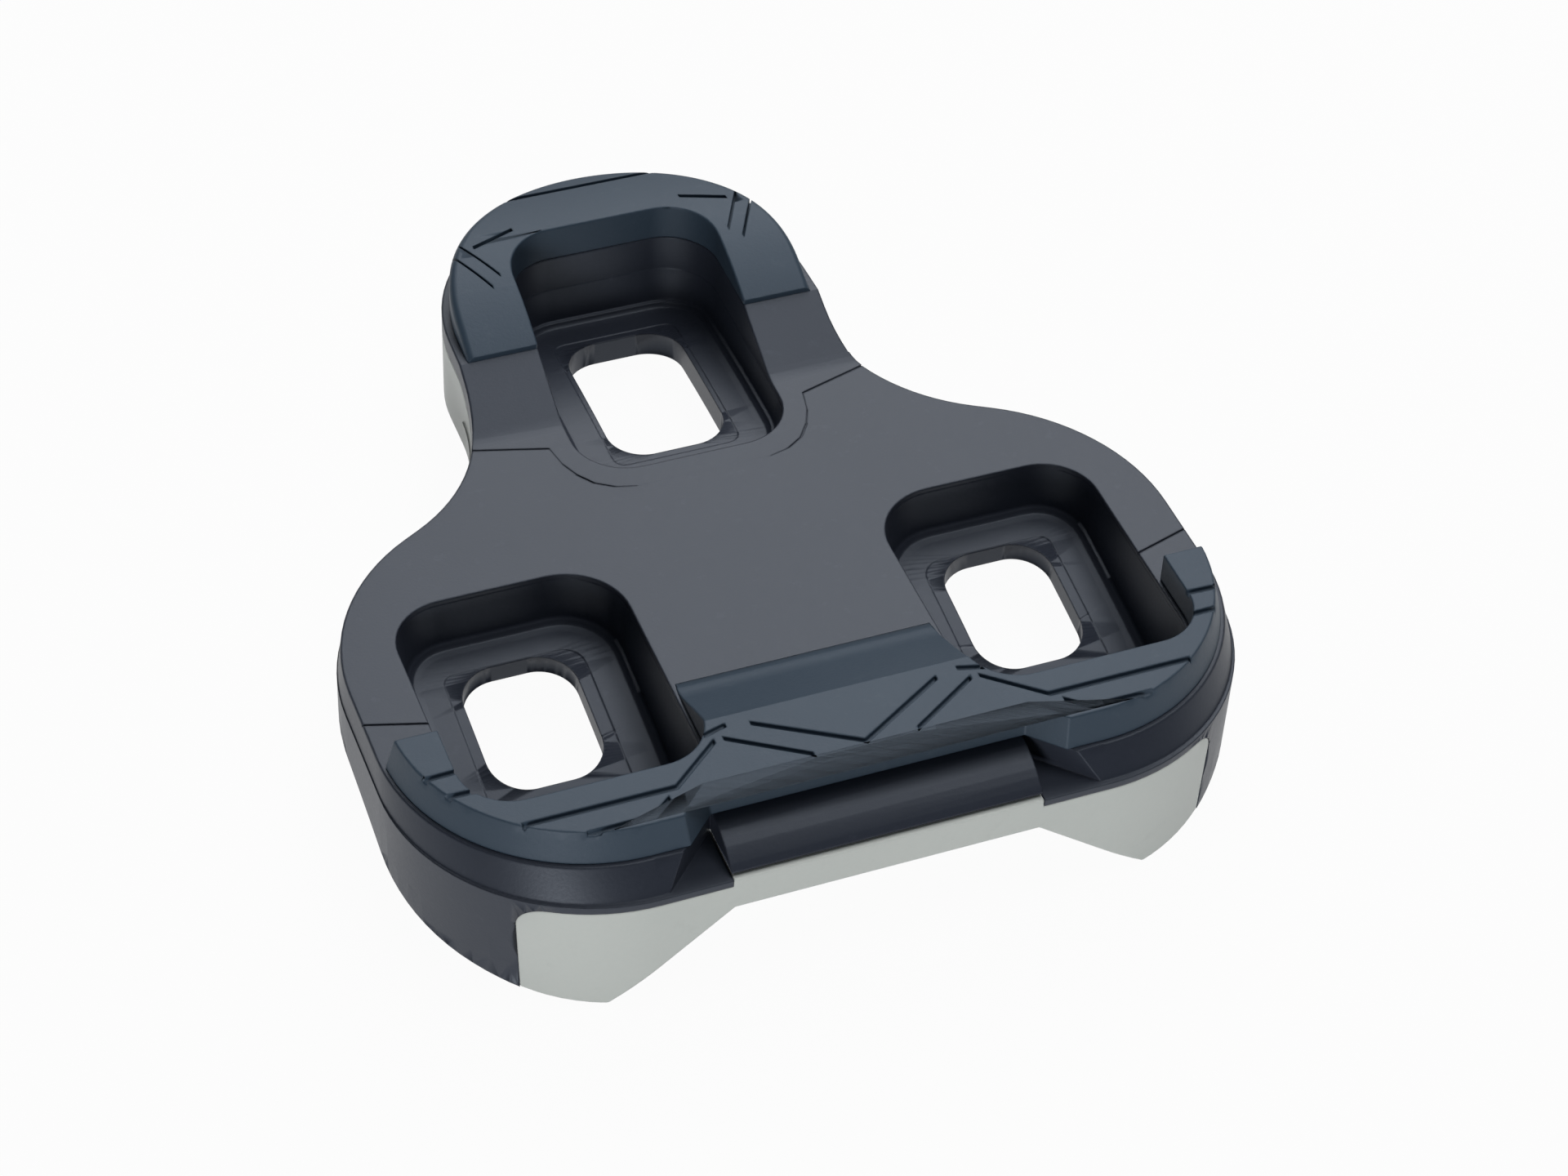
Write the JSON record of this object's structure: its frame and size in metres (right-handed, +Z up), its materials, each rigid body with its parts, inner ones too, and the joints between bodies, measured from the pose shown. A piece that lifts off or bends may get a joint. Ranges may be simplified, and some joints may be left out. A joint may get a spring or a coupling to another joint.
{
  "type": "clipless pedal cleat",
  "caption": "Three-bolt road cleat with a rounded nose, a rear lip, deep bolt recesses, rubbery grip pads and a pale curved shoe-side plate.",
  "frame": {"origin": "middle of the bounding box's underside, on the surface that the cleat stands on", "axes": "+Y towards the nose, +X across the shoe, +Z up, away from the shoe's sole"},
  "size_m": [0.0656, 0.0712, 0.0145],
  "materials": {
    "body_plastic": "charcoal moulded nylon with a fine satin grain",
    "plate_plastic": "off-white moulded plastic, satin",
    "grip_rubber": "slate blue-grey thermoplastic rubber"
  },
  "bodies": {
    "root": {"upper_body": "body_plastic", "shoe_plate": "plate_plastic", "rear_grip_pad": "grip_rubber", "nose_grip_pad": "grip_rubber"}
  },
  "joints": []
}
